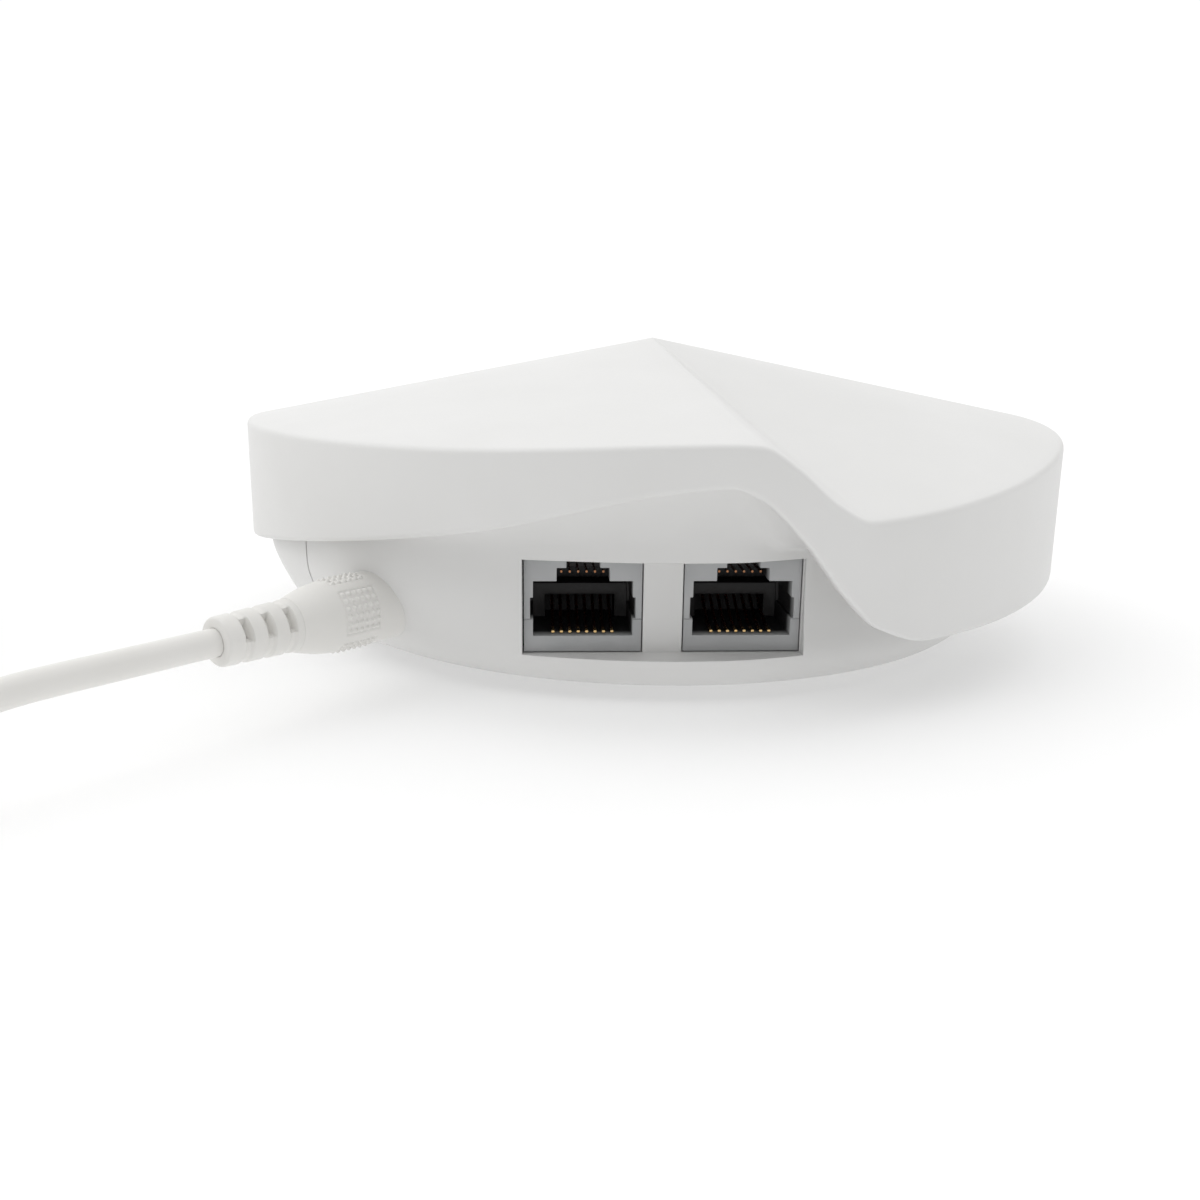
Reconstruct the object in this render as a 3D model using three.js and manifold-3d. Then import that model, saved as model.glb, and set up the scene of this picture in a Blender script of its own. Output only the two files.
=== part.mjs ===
// A round mesh wireless router with its power lead, in millimetres.
// Z is up, the feet stand on z = 0, the origin is under the middle of the case and the jacks face -Y.
import * as THREE from "three";
import { mergeVertices } from "three/addons/utils/BufferGeometryUtils.js";
import Module from "manifold-3d";

const wasm = await Module();
wasm.setup();

// ---- driving dimensions ----
const COVER_R = 60; // outside of the cover's skirt
const COVER_WALL = 1.8;
const COVER_TOP_THICK = 2.2;
const APEX_Z = 42.4; // where the two ridges of the top meet, over the middle
const EDGE_ROUND = 0.7; // rounding between the top and the skirt
const RIDGE_AZ = -84.3; // the front ridge runs from the apex towards this azimuth
const BLADES = 2; // the top repeats every half turn

// Heights round one half turn of the cover, as [degrees after a ridge, height].
const RIM = [
  [0, 32.4], [4, 30], [9, 25.8], [13, 23.9], [20, 24.3], [36, 26.1],
  [60, 29.2], [90, 30.7], [145, 31.3], [177, 32.6],
];
const SKIRT = [
  [0, 26.7], [5, 22], [10, 15.8], [15, 11.3], [22, 9.2], [45, 9.9],
  [80, 12.4], [120, 17.5], [150, 22.3], [172, 27.4], [177, 27.8],
];

const FLOOR_Z = 2.0; // underside of the lower housing
const FLOOR_THICK = 1.8;
const WALL = 1.8;
const LID_GAP = 0.8; // between the top edge of the wall and the cover above it
// Half sections of the lower housing's outside, from the floor up: [radius, height].
// It flares out where the skirt is low and stands upright round the ports.
const BOWL_TOP_R = 57.6;
const FLARED = [
  [46.8, FLOOR_Z], [48.2, 2.4], [51.2, 4.1], [54, 6.3], [56, 9.7], [57.4, 13.3], [57.6, 17], [57.6, 18.9],
];
const UPRIGHT_R = [46.8, 48, 49.7, 50.8, 50.6, 50.4, 50.4, 50.5];
// How far it flares round one half turn, as [degrees after a ridge, share].
const FLARE = [
  [0, 0], [11, -0.12], [22, -0.05], [40, 0.1], [60, 0.5], [80, 0.9], [100, 1],
  [125, 1], [134, 0.9], [143, 0.55], [152, 0.22], [163, 0.05], [177, 0],
];
const SHELF_Z = 20.4; // lowest height of the shelf that closes the gap behind the skirt

const PANEL_FROM = -145.3; // azimuths of the two seams of the port panel
const PANEL_TO = -36.5;
const PANEL_IN_R = 46.2; // seam between the panel and the floor
const SEAM = 0.15; // half of the gap at a seam

const PORT_Y = -46.84; // face of the jacks
const PORT_BOTTOM = 6.2;
const PORT_CEILING = 17.9;
const PORT_SIDES = [-19.65, 14.1];
const JACK_X = [-12.4, 6.75];
const JACK_W = 14.1;
const JACK_TOP = 18.6;
const JACK_DEPTH = 15;
const CAVITY_W = 11.9;
const CAVITY_DEPTH = 12.6;
const CONTACT_PITCH = 1.016;
const CONTACTS = 8;

const BOARD_Z = [5.0, 6.2];
const BOARD_R = 44;
const ON_BOARD = 6.4; // underside of what is soldered on the board

const POWER_AZ = -132.3; // the power inlet points straight out at this azimuth
const POWER_Z = 10.8;
const CUP_R = 4.95; // the round recess that the plug sits in
const PLUG_FACE = 50.3; // distances from the origin along the inlet's axis
const PLUG_R = 4.4;
const CORD_R = 1.6;
const LEAD_END = 78.8; // where the cord leaves its strain relief

const BOSS_R = 40.5;
const BOSS_AZ = [40, 140, -158, -22];

const RESET_AT = [-20, 30];

// ---- small helpers ----
const rad = THREE.MathUtils.degToRad;
const polar = (r, az, z = 0) => new THREE.Vector3(r * Math.cos(rad(az)), r * Math.sin(rad(az)), z);

function solid(geometry) {
  const g = geometry.clone();
  g.deleteAttribute("normal");
  g.deleteAttribute("uv");
  const m = mergeVertices(g, 1e-4);
  return new wasm.Manifold(
    new wasm.Mesh({
      numProp: 3,
      vertProperties: new Float32Array(m.attributes.position.array),
      triVerts: new Uint32Array(m.index.array),
    }),
  );
}

function geometryOf(manifold) {
  const mesh = manifold.getMesh();
  const g = new THREE.BufferGeometry();
  g.setAttribute("position", new THREE.BufferAttribute(new Float32Array(mesh.vertProperties), 3));
  g.setIndex(new THREE.BufferAttribute(new Uint32Array(mesh.triVerts), 1));
  const flat = g.toNonIndexed();
  flat.computeVertexNormals();
  return flat;
}

const join = (first, ...rest) => rest.reduce((a, b) => a.add(b), first);
const cut = (first, ...rest) => rest.reduce((a, b) => a.subtract(b), first);

function box([x0, x1], [y0, y1], [z0, z1]) {
  const g = new THREE.BoxGeometry(x1 - x0, y1 - y0, z1 - z0);
  return solid(g.translate((x0 + x1) / 2, (y0 + y1) / 2, (z0 + z1) / 2));
}

const boxAt = (x, y, w, d, z) => box([x - w / 2, x + w / 2], [y - d / 2, y + d / 2], z);

// A post or a bore along Z.
function post(r, [z0, z1], x = 0, y = 0, sides = 24) {
  const g = new THREE.CylinderGeometry(r, r, z1 - z0, sides).rotateX(Math.PI / 2);
  return solid(g.translate(x, y, (z0 + z1) / 2));
}

// A turned piece on the Z axis: the profile is [radius, height], going up on the outside.
function turned(profile, sides = 32) {
  const points = profile.map(([r, z]) => new THREE.Vector2(r, z));
  return new THREE.LatheGeometry(points, sides).rotateX(Math.PI / 2);
}

// Lays a piece made along Z out along the power inlet's axis.
const alongInlet = (g) => g.rotateY(Math.PI / 2).translate(0, 0, POWER_Z).rotateZ(rad(POWER_AZ));
const inletTurned = (profile, sides) => solid(alongInlet(turned(profile, sides)));
const inletRod = (r, from, to, sides = 28) => inletTurned([[0, from], [r, from], [r, to], [0, to]], sides);

function outline(points) {
  return new THREE.Shape(points.map(([x, y]) => new THREE.Vector2(x, y)));
}

function prism(shape, [z0, z1], curveSegments = 6) {
  const g = new THREE.ExtrudeGeometry(shape, { depth: z1 - z0, bevelEnabled: false, curveSegments });
  return solid(g.translate(0, 0, z0));
}

function roundedOutline(w, d, r) {
  const s = new THREE.Shape();
  s.moveTo(-w / 2 + r, -d / 2);
  s.lineTo(w / 2 - r, -d / 2);
  s.absarc(w / 2 - r, -d / 2 + r, r, -Math.PI / 2, 0);
  s.lineTo(w / 2, d / 2 - r);
  s.absarc(w / 2 - r, d / 2 - r, r, 0, Math.PI / 2);
  s.lineTo(-w / 2 + r, d / 2);
  s.absarc(-w / 2 + r, d / 2 - r, r, Math.PI / 2, Math.PI);
  s.lineTo(-w / 2, -d / 2 + r);
  s.absarc(-w / 2 + r, -d / 2 + r, r, Math.PI, 1.5 * Math.PI);
  return s;
}

// A round tube along points, with flat closed ends.
function tube(points, r, steps, sides = 8) {
  const path = new THREE.CatmullRomCurve3(points.map((p) => new THREE.Vector3(...p)), false, "centripetal");
  const ring = new THREE.Shape();
  for (let i = 0; i < sides; i++) {
    const a = (2 * Math.PI * i) / sides;
    if (i === 0) ring.moveTo(r * Math.cos(a), r * Math.sin(a));
    else ring.lineTo(r * Math.cos(a), r * Math.sin(a));
  }
  return new THREE.ExtrudeGeometry(ring, { steps, bevelEnabled: false, extrudePath: path });
}

// ---- the swirl of the top ----
// A smooth line through the heights of one blade, which rises again at the next ridge.
function roundBlade(heights) {
  const span = 360 / BLADES;
  const n = heights.length;
  const at = (i) => {
    const k = ((i % n) + n) % n;
    return [heights[k][0] + (span * (i - k)) / n, heights[k][1]];
  };
  const slope = (i) => {
    const [x0, y0] = at(i - 1);
    const [x1, y1] = at(i);
    const [x2, y2] = at(i + 1);
    const before = (y1 - y0) / (x1 - x0);
    const after = (y2 - y1) / (x2 - x1);
    return before * after <= 0 ? 0 : (2 * before * after) / (before + after);
  };
  return (az) => {
    const t = THREE.MathUtils.euclideanModulo(az - RIDGE_AZ, span);
    let i = n - 1;
    while (heights[i][0] > t) i--;
    const [x0, y0] = at(i);
    const [x1, y1] = at(i + 1);
    const h = x1 - x0;
    const u = (t - x0) / h;
    const a = y0 * (1 + 2 * u) * (1 - u) ** 2 + h * slope(i) * u * (1 - u) ** 2;
    return a + y1 * u * u * (3 - 2 * u) + h * slope(i + 1) * u * u * (u - 1);
  };
}

const rimZ = roundBlade(RIM);
const skirtZ = roundBlade(SKIRT);
const flare = roundBlade(FLARE);

// Azimuths of the faces: close together at the steps next to the ridges, wider elsewhere.
function azimuths() {
  const span = 360 / BLADES;
  const after = [-4, -1.5, 0, 1.5, 3, 5, 7, 9, 11, 13, 16, 20, 25, 30];
  for (let a = 36; a < span - 6; a += 6) after.push(a);
  const all = [];
  for (let b = 0; b < BLADES; b++) for (const a of after) all.push(RIDGE_AZ + b * span + a);
  return all;
}

// A closed body swept round Z: section(azimuth) lists [radius, height] from the lower pole on the
// axis, out and up to the upper pole.
function swept(section) {
  const az = azimuths();
  const rows = az.map(section);
  const last = rows[0].length - 1;
  const positions = [0, 0, rows[0][0][1]];
  rows.forEach((row, i) => {
    for (let k = 1; k < last; k++) positions.push(...polar(row[k][0], az[i], row[k][1]).toArray());
  });
  const top = positions.length / 3;
  positions.push(0, 0, rows[0][last][1]);
  const at = (i, k) => 1 + (i % rows.length) * (last - 1) + (k - 1);
  const faces = [];
  for (let i = 0; i < rows.length; i++) {
    faces.push(0, at(i + 1, 1), at(i, 1));
    for (let k = 1; k < last - 1; k++) {
      faces.push(at(i, k), at(i + 1, k), at(i + 1, k + 1), at(i, k), at(i + 1, k + 1), at(i, k + 1));
    }
    faces.push(at(i, last - 1), at(i + 1, last - 1), top);
  }
  const g = new THREE.BufferGeometry();
  g.setAttribute("position", new THREE.Float32BufferAttribute(positions, 3));
  g.setIndex(faces);
  return solid(g);
}

// Height of the top at a distance from the middle: straight lines from the apex to the rim.
const topZ = (r, az) => APEX_Z + ((rimZ(az) - APEX_Z) * r) / COVER_R;

function coverBody() {
  const inside = COVER_R - COVER_WALL;
  const shell = swept((az) => {
    const edge = topZ(COVER_R, az);
    const bottom = skirtZ(az);
    const under = (r) => topZ(r, az) - COVER_TOP_THICK;
    return [
      [0, APEX_Z - COVER_TOP_THICK],
      [30, under(30)],
      [inside - 1, under(inside - 1)],
      [inside, under(inside) - 1],
      [inside, bottom + 0.4],
      [inside + 0.4, bottom],
      [COVER_R - 0.5, bottom],
      [COVER_R, bottom + 0.7],
      [COVER_R, edge - EDGE_ROUND],
      [COVER_R - EDGE_ROUND, topZ(COVER_R - EDGE_ROUND, az)],
      [30, topZ(30, az)],
      [0, APEX_Z],
    ];
  });
  const bosses = BOSS_AZ.map((az) => {
    const { x, y } = polar(BOSS_R, az);
    return post(3.1, [BOARD_Z[1] + 0.3, topZ(BOSS_R, az) - COVER_TOP_THICK + 0.6], x, y, 18);
  });
  const pilots = BOSS_AZ.map((az) => {
    const { x, y } = polar(BOSS_R, az);
    return post(1.4, [BOARD_Z[1], 16], x, y, 12);
  });
  return cut(join(shell, ...bosses), ...pilots);
}

// ---- the lower case ----
const wallTop = (az) => rimZ(az) - COVER_TOP_THICK + 0.4 - LID_GAP;

const bowlLine = (az) => FLARED.map(([r, z], i) => [UPRIGHT_R[i] + flare(az) * (r - UPRIGHT_R[i]), z]);

// The hollow curve that leads from the upright wall out to the skirt.
function cove(az) {
  const [r, z] = bowlLine(az).at(-1);
  const top = Math.min(Math.max(skirtZ(az) + 1.5, SHELF_Z), wallTop(az) - 0.5);
  return [30, 60, 90].map((t) => [
    r + (BOWL_TOP_R - r) * (1 - Math.cos(rad(t))),
    z + (top - z) * Math.sin(rad(t)),
  ]);
}

function bowlOutside() {
  return swept((az) => [
    [0, FLOOR_Z], ...bowlLine(az), ...cove(az), [BOWL_TOP_R, wallTop(az)], [BOARD_R, wallTop(az)], [0, 60],
  ]);
}

function bowlInside() {
  return swept((az) => {
    const inner = bowlLine(az).slice(2).map(([r, z]) => [r - WALL, z + 1.1]);
    return [
      [0, FLOOR_Z + FLOOR_THICK],
      [45, FLOOR_Z + FLOOR_THICK],
      ...inner,
      [inner.at(-1)[0], wallTop(az) + 30],
      [0, 90],
    ];
  });
}

// The wedge of the wall that the port panel fills, grown or shrunk at its seams.
function panelWedge(grow) {
  const seamPoint = (r, az, side) => {
    const p = polar(r, az).add(polar(side * grow, az + 90));
    return [p.x, p.y];
  };
  const wedge = prism(
    outline([
      seamPoint(30, PANEL_FROM, -1),
      seamPoint(80, PANEL_FROM, -1),
      [0, -110],
      seamPoint(80, PANEL_TO, 1),
      seamPoint(30, PANEL_TO, 1),
    ]),
    [-1, 60],
  );
  return cut(wedge, post(PANEL_IN_R - grow, [-2, FLOOR_Z + FLOOR_THICK + 0.2 - grow], 0, 0, 72));
}

const bowl = cut(bowlOutside(), bowlInside());

function floorDetails() {
  const slots = [];
  for (let i = -3; i <= 3; i++) {
    slots.push(boxAt(i * 5, 14, 1.8, 15, [0, 5]), boxAt(i * 5, -12, 1.8, 15, [0, 5]));
  }
  const pockets = BOSS_AZ.flatMap((az) => {
    const { x, y } = polar(BOSS_R, az);
    return [
      post(4.7, [0, FLOOR_Z + 0.6], x, y),
      post(2.8, [0, 4.1], x, y, 18),
      post(1.5, [0, 6], x, y, 12),
    ];
  });
  const reset = post(1.8, [0, 5], ...RESET_AT, 18);
  return [...slots, ...pockets, reset];
}

function lowerHousing() {
  const pads = BOSS_AZ.map((az) => {
    const { x, y } = polar(BOSS_R, az);
    return post(4.1, [FLOOR_Z + 0.8, BOARD_Z[0] - 0.1], x, y);
  });
  const body = join(cut(bowl, panelWedge(SEAM)), ...pads);
  return cut(body, ...floorDetails());
}

function portPanel() {
  const [left, right] = PORT_SIDES;
  const block = box([left - 1.8, right + 1.8], [-58, PORT_Y + 1.9], [4.3, PORT_CEILING + 1.8]);
  const cup = inletRod(CUP_R + 1.4, 47.5, 62);
  const kept = bowlOutside().intersect(join(block, cup));
  const recess = box(PORT_SIDES, [-70, PORT_Y], [PORT_BOTTOM, PORT_CEILING]);
  const windows = JACK_X.map((x) =>
    boxAt(x, PORT_Y + 1.85, JACK_W + 0.3, 4.3, [PORT_BOTTOM, JACK_TOP + 0.25]),
  );
  const hole = inletRod(CUP_R, 48.9, 70);
  const barrelHole = inletRod(3.3, 40, 60, 20);
  const wall = bowl.intersect(panelWedge(-SEAM));
  return cut(join(wall, kept), recess, ...windows, hole, barrelHole);
}

// ---- jacks ----
function jack(x) {
  const back = PORT_Y + JACK_DEPTH;
  const body = boxAt(x, (PORT_Y + back) / 2, JACK_W, JACK_DEPTH, [PORT_BOTTOM + 0.15, JACK_TOP]);
  const depth = [PORT_Y - 1, PORT_Y + CAVITY_DEPTH];
  const half = CAVITY_W / 2;
  return cut(
    body,
    box([x - half, x + half], depth, [8.3, 15]),
    box([x - half - 0.35, x + half + 0.35], [PORT_Y - 1, PORT_Y + 9], [10.4, 13]),
    box([x - 3.15, x + 3.15], [PORT_Y - 1, PORT_Y + 8], [14.9, 16.6]),
    box([x - 2, x + 2], [PORT_Y - 1, PORT_Y + 8], [16.5, 17.8]),
  );
}

// Eight spring wires that rise from the front edge to a carrier bar at the back, as one comb.
function contactComb(x) {
  const rise = outline([
    [0.9, 8.5], [4.6, 8.9], [10.4, 13.3], [10.4, 13.8], [9.9, 13.8], [4.4, 9.5], [0.9, 9.0],
  ]);
  const bar = box([x - 4.6, x + 4.6], [PORT_Y + 10.1, PORT_Y + 12.2], [13.0, 14.4]);
  const wires = [];
  for (let i = 0; i < CONTACTS; i++) {
    const at = x + (i - (CONTACTS - 1) / 2) * CONTACT_PITCH;
    const g = new THREE.ExtrudeGeometry(rise, { depth: 0.36, bevelEnabled: false });
    g.rotateX(Math.PI / 2).rotateZ(Math.PI / 2).translate(at - 0.18, PORT_Y, 0);
    wires.push(solid(g));
  }
  return join(bar, ...wires);
}

// ---- inside ----
function mainBoard() {
  const holes = BOSS_AZ.map((az) => {
    const { x, y } = polar(BOSS_R, az);
    return post(1.7, [0, 9], x, y, 14);
  });
  return cut(post(BOARD_R, BOARD_Z, 0, 0, 80), ...holes, post(1.9, [0, 9], ...RESET_AT, 16));
}

function heatSpreader() {
  const plate = post(33, [20, 21.2], 0, 0, 48);
  const pedestal = boxAt(0, 6, 16, 16, [8.8, 20.5]);
  const ribs = [-24, -16, 16, 24].map((x) => boxAt(x, 2, 1.2, 34, [17, 20.5]));
  return cut(join(plate, pedestal, ...ribs), post(3, [15, 25], 0, 27, 18));
}

function shieldCan(x, y) {
  const outer = boxAt(x, y, 18, 22, [ON_BOARD, ON_BOARD + 3]);
  return cut(outer, boxAt(x, y, 17.4, 21.4, [ON_BOARD - 1, ON_BOARD + 2.7]));
}

// A stamped plate that stands at the edge of the board on a short foot.
function antenna(az) {
  const plate = box([42.5, 43.1], [-10, 10], [9.5, 21]);
  const stem = box([42.5, 43.1], [-2.2, 2.2], [ON_BOARD, 10]);
  const foot = box([38.4, 43], [-2.2, 2.2], [ON_BOARD, ON_BOARD + 0.6]);
  const slot = box([42, 44], [-7.5, 6], [13.5, 15]);
  return cut(join(plate, stem, foot), slot).rotate([0, 0, az]);
}

function resetButton() {
  return join(
    post(1.5, [FLOOR_Z + 0.3, 6.05], ...RESET_AT, 16),
    post(2.5, [4.0, 4.6], ...RESET_AT, 18),
  );
}

function screw(x, y) {
  const head = post(2.4, [2.75, 4.0], x, y, 16);
  const shank = post(1.1, [3.9, 14], x, y, 12);
  const cross = join(boxAt(x, y, 2.6, 0.7, [2, 3.3]), boxAt(x, y, 0.7, 2.6, [2, 3.3]));
  return cut(join(head, shank), cross);
}

function powerSocket() {
  const g = new THREE.BoxGeometry(9.4, 9.2, 8.8).translate(42.3, 0, ON_BOARD + 4.4);
  return cut(solid(g.rotateZ(rad(POWER_AZ))), inletRod(3.1, 39, 50, 20));
}

// ---- power lead ----
function plugBody() {
  return cut(
    inletTurned([
      [0, PLUG_FACE], [PLUG_R - 0.5, PLUG_FACE], [PLUG_R, PLUG_FACE + 0.5], [PLUG_R, 61.6],
      [PLUG_R - 0.15, 63], [4.05, 66], [3.4, 68.8], [0, 68.8],
    ]),
    inletRod(2.95, 40, 54, 20),
  );
}

const plugBarrel = () => cut(inletRod(2.75, 41, 53.7, 20), inletRod(1.3, 40, 52, 14));

// A sleeve with three slotted rings and a plain collar, open along its middle for the cord.
function strainRelief() {
  const bore = CORD_R + 0.2;
  const outside = [[3.3, 69.1], [3.3, 69.8], [2.4, 70.1], [2.4, 71]];
  for (const [r, from] of [[3.2, 71.3], [3.1, 74.15]]) {
    outside.push([r, from], [r, from + 1.35], [2.3, from + 1.65], [2.3, from + 2.5]);
  }
  outside.push([2.95, 76.95], [2.9, 78.1], [2.6, LEAD_END]);
  return inletTurned([[bore, 69.1], ...outside, [bore, LEAD_END], [bore, 69.1]], 24);
}

// ---- the cord's route ----
const COIL_R = [14.1, 24.15]; // centre of the innermost and the outermost turns
const COIL_Z = [2.25, 12]; // centre of the lowest and the highest turns
const COIL_START = 147; // where the straight lead meets the outermost turn
const COIL_AT = polar(COIL_START, POWER_AZ).add(polar(COIL_R[1], POWER_AZ - 90));
const LAST_TURN_R = 19.57; // the cord leaves the coil on top of the middle turns
const ADAPTER_X = COIL_AT.x - LAST_TURN_R;
const ADAPTER_Y = [-57, 1];
const ADAPTER_H = 38;
const ADAPTER_W = 28;
const CORD_EXIT_Z = COIL_Z[1];
const COIL_SECTION = {
  r: [COIL_R[0] - CORD_R - 0.15, COIL_R[1] + CORD_R + 0.15],
  z: [COIL_Z[0] - CORD_R - 0.05, COIL_Z[1] + CORD_R + 0.05],
};

// Distance along the inlet's axis and height, from inside the strain relief down to the floor.
const LEAD = [
  [69.4, 10.8], [75, 10.8], [80.6, 10.8], [86, 10.8], [91, 10.8], [96, 10.8], [100, 10.7],
  [104, 10.3], [108, 9.4], [112, 8.1], [116, 6.6], [120, 5.1], [124, 3.8], [128, 2.85], [133.5, 2.3],
];

const leadTube = () => tube(LEAD.map(([r, z]) => polar(r, POWER_AZ, z).toArray()), CORD_R, 34);

function tailTube() {
  const y = COIL_AT.y;
  return tube(
    [19, 22, 26, 29, ADAPTER_Y[0] - y - 0.6].map((s) => [ADAPTER_X, y + s, CORD_EXIT_Z]),
    CORD_R,
    6,
  );
}

function coilRing() {
  const [inner, outer] = COIL_SECTION.r;
  const [low, high] = COIL_SECTION.z;
  const profile = [
    [inner, low + 1], [inner + 1, low], [outer - 1, low], [outer, low + 1],
    [outer, high - 1], [outer - 1, high], [inner + 1, high], [inner, high - 1], [inner, low + 1],
  ];
  return turned(profile, 48).translate(COIL_AT.x, COIL_AT.y, 0);
}

// A strap round the coil's section, beside the place where the cord leaves.
function coilTie() {
  const { r, z } = COIL_SECTION;
  const wrap = (gap, y) => box([r[0] - gap, r[1] + gap], y, [z[0] - gap * 0.65, z[1] + gap * 0.65]);
  const band = cut(wrap(0.8, [-2.5, 2.5]), wrap(0.3, [-4, 4]));
  return band.rotate([0, 0, 55]).translate([COIL_AT.x, COIL_AT.y, 0]);
}

function adapterStrainRelief() {
  const bore = CORD_R + 0.25;
  const g = turned([[bore, 0], [2.5, 0], [2.9, 3], [3.6, 13.7], [bore, 13.7], [bore, 0]], 20);
  return g.rotateX(-Math.PI / 2).translate(ADAPTER_X, ADAPTER_Y[0] - 14, CORD_EXIT_Z);
}

// A rounded slab that stands across Y.
function adapterSlab([y0, y1]) {
  const g = new THREE.ExtrudeGeometry(roundedOutline(ADAPTER_W, ADAPTER_H, 4), {
    depth: y1 - y0,
    bevelEnabled: false,
    curveSegments: 5,
  });
  return solid(g.rotateX(Math.PI / 2).translate(ADAPTER_X, y1, ADAPTER_H / 2));
}

function adapterCover() {
  const slots = [-1, 1].map((s) =>
    boxAt(ADAPTER_X + s * 6.35, ADAPTER_Y[1], 2.1, 20, [ADAPTER_H / 2 - 3.5, ADAPTER_H / 2 + 3.5]),
  );
  return cut(adapterSlab([ADAPTER_Y[1] - 3, ADAPTER_Y[1]]), ...slots);
}

function adapterBlade(side) {
  const x = ADAPTER_X + side * 6.35;
  const z = ADAPTER_H / 2;
  return box([x - 0.75, x + 0.75], [ADAPTER_Y[1] - 2.9, ADAPTER_Y[1] + 16], [z - 3.15, z + 3.15]);
}

// ---- assembly ----
const router = new THREE.Group();

const LOOKS = {
  whitePlastic: [0xf0f0ee, 0.5, 0],
  greyPlastic: [0xa6a8aa, 0.5, 0],
  blackPlastic: [0x1b1b1c, 0.5, 0],
  leadPlastic: [0xe8e7e2, 0.5, 0],
  rubber: [0xc9c9c7, 0.9, 0],
  board: [0x1d4a33, 0.6, 0],
  gold: [0xd8a24a, 0.3, 1],
  nickel: [0xc9c8c3, 0.3, 1],
  steel: [0x9c9d9e, 0.35, 1],
  aluminium: [0xc2c4c6, 0.45, 1],
  pad: [0x8fa3b8, 0.9, 0],
  clear: [0xe6eef2, 0.2, 0],
};

function add(name, look, shape) {
  const [color, roughness, metalness] = LOOKS[look];
  const geometry = shape.isBufferGeometry ? shape : geometryOf(shape);
  const mesh = new THREE.Mesh(geometry, new THREE.MeshStandardMaterial({ color, roughness, metalness }));
  mesh.name = name;
  router.add(mesh);
}

add("top_cover", "whitePlastic", coverBody());
add("lower_housing", "whitePlastic", lowerHousing());
add("port_panel", "whitePlastic", portPanel());

BOSS_AZ.forEach((az, i) => {
  const { x, y } = polar(BOSS_R, az);
  add(`foot_${i + 1}`, "rubber", post(4.5, [0, FLOOR_Z + 0.5], x, y));
  add(`housing_screw_${i + 1}`, "steel", screw(x, y));
});

add("main_board", "board", mainBoard());
["left", "right"].forEach((side, i) => {
  add(`rj45_jack_${side}`, "greyPlastic", jack(JACK_X[i]));
  add(`rj45_contacts_${side}`, "gold", contactComb(JACK_X[i]));
  add(`jack_transformer_${side}`, "blackPlastic", boxAt(JACK_X[i], -26, 13, 9, [ON_BOARD, ON_BOARD + 5]));
});
add("power_socket", "blackPlastic", powerSocket());
add("power_socket_pin", "nickel", inletRod(1.0, 39.1, 46.5, 14));

add("processor", "blackPlastic", boxAt(0, 6, 15, 15, [ON_BOARD, ON_BOARD + 1.2]));
add("thermal_pad", "pad", boxAt(0, 6, 14.5, 14.5, [ON_BOARD + 1.3, ON_BOARD + 2.3]));
add("heat_spreader", "aluminium", heatSpreader());
add("shield_can_left", "nickel", shieldCan(-23, 4));
add("shield_can_right", "nickel", shieldCan(23, 4));
add("flash_chip", "blackPlastic", boxAt(0, -13, 8, 6, [ON_BOARD, ON_BOARD + 1]));
add("inductor", "blackPlastic", boxAt(-20, -18, 7, 7, [ON_BOARD, ON_BOARD + 3.5]));
[[22, -20], [29, -16]].forEach(([x, y], i) => {
  add(`capacitor_${i + 1}`, "aluminium", post(2.6, [ON_BOARD, ON_BOARD + 7], x, y, 18));
});
[-3, 65, 115, 183].forEach((az, i) => add(`antenna_${i + 1}`, "nickel", antenna(az)));
add("status_led", "clear", boxAt(0, 27, 3, 3, [ON_BOARD, ON_BOARD + 0.9]));
add("light_pipe", "clear", post(1.9, [ON_BOARD + 1.2, 30], 0, 27, 18));
add("reset_switch", "blackPlastic", boxAt(...RESET_AT, 6, 6, [ON_BOARD, ON_BOARD + 3.4]));
add("reset_button", "blackPlastic", resetButton());

add("plug_body", "leadPlastic", plugBody());
add("plug_barrel", "nickel", plugBarrel());
add("plug_strain_relief", "leadPlastic", strainRelief());
add("power_cord", "leadPlastic", leadTube());
add("cord_coil", "leadPlastic", coilRing());
add("cord_tie", "blackPlastic", coilTie());
add("cord_tail", "leadPlastic", tailTube());
add("adapter_strain_relief", "leadPlastic", adapterStrainRelief());
add("adapter_case", "leadPlastic", adapterSlab([ADAPTER_Y[0], ADAPTER_Y[1] - 3.3]));
add("adapter_cover", "leadPlastic", adapterCover());
add("adapter_blade_left", "nickel", adapterBlade(-1));
add("adapter_blade_right", "nickel", adapterBlade(1));

export default router;
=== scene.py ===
"""A round mesh wireless router and its power lead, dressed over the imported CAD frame."""
import math

import bpy
from mathutils import Matrix, Vector


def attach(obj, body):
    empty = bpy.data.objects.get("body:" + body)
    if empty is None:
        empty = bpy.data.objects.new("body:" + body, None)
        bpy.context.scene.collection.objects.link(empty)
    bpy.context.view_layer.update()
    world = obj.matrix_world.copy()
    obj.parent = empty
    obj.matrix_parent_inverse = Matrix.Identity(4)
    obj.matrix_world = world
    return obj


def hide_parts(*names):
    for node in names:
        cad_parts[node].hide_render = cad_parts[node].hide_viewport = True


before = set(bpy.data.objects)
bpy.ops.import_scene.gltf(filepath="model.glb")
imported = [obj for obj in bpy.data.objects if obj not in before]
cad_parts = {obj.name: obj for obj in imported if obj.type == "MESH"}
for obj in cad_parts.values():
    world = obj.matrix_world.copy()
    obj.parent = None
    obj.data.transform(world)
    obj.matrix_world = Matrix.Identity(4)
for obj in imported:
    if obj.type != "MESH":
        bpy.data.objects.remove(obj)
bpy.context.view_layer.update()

MM = 0.001

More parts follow.
